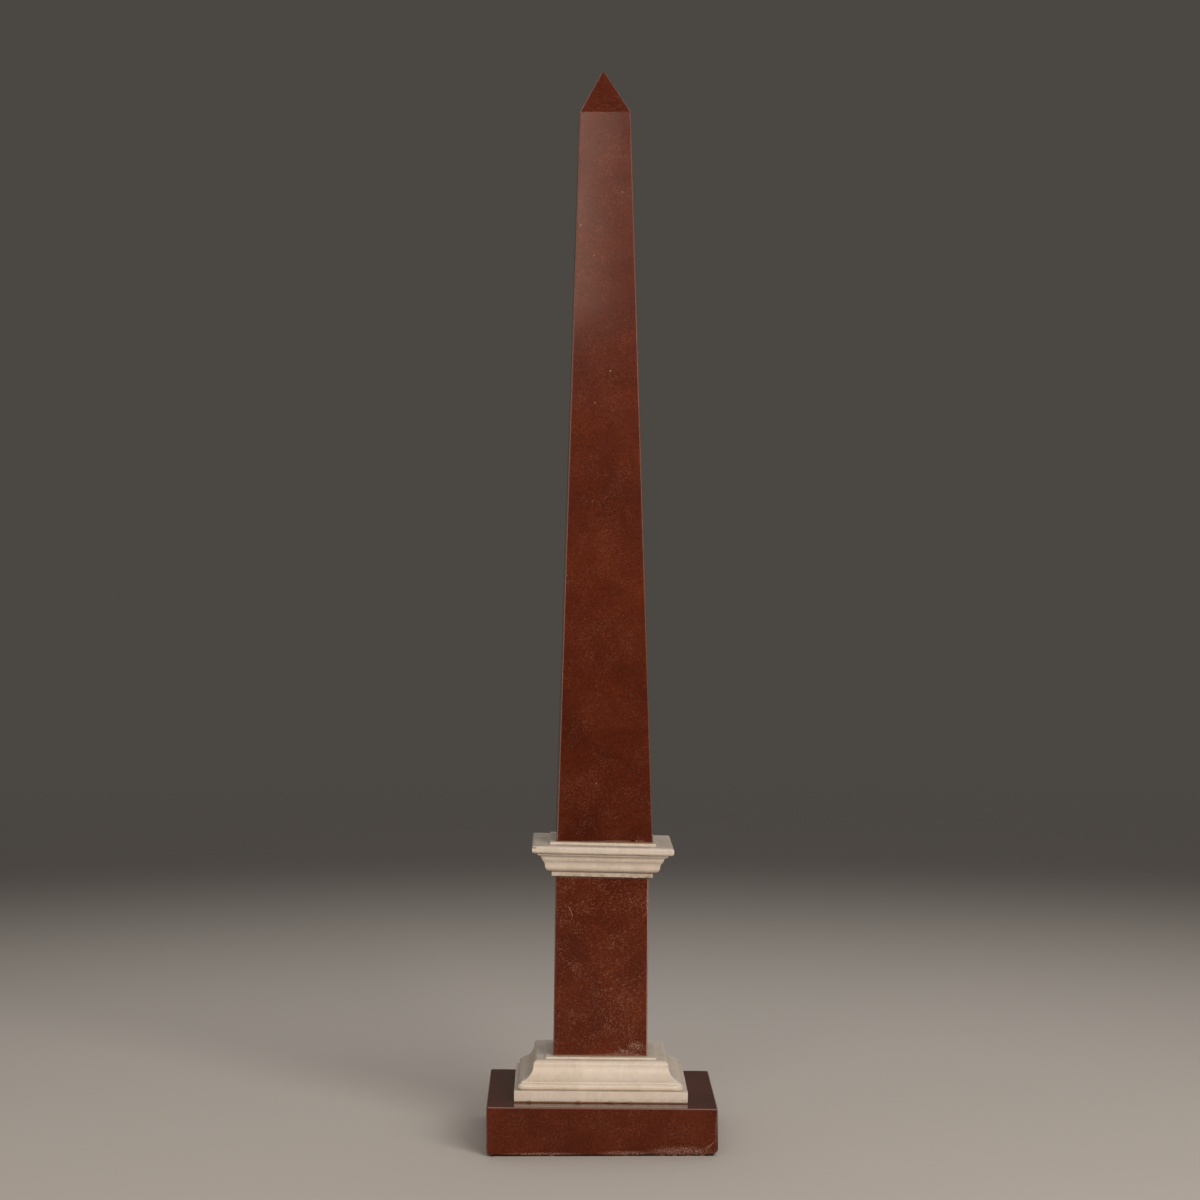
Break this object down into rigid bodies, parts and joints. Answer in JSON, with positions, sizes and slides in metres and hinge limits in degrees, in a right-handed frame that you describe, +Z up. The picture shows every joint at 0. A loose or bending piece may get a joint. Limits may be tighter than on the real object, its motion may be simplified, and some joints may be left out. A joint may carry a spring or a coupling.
{
  "type": "table-top obelisk ornament",
  "caption": "Tall tapered square shaft with a pyramid tip, on a moulded cornice, square die, moulded base and plinth slab of polished stone.",
  "frame": {"origin": "middle of the plinth's underside, on the surface that the ornament stands on", "axes": "+Z up along the shaft; the front face looks along -Y; +X to the viewer's right"},
  "size_m": [0.12, 0.12, 0.5668],
  "materials": {
    "red_stone": "polished",
    "white_marble": "honed",
    "setting_compound": "matte"
  },
  "bodies": {
    "root": {"plinth": "red_stone", "plinth_joint": "setting_compound", "base_moulding": "white_marble", "die_joint": "setting_compound", "die": "red_stone", "cornice_joint": "setting_compound", "cornice": "white_marble", "shaft_joint": "setting_compound", "shaft": "red_stone"}
  },
  "joints": []
}
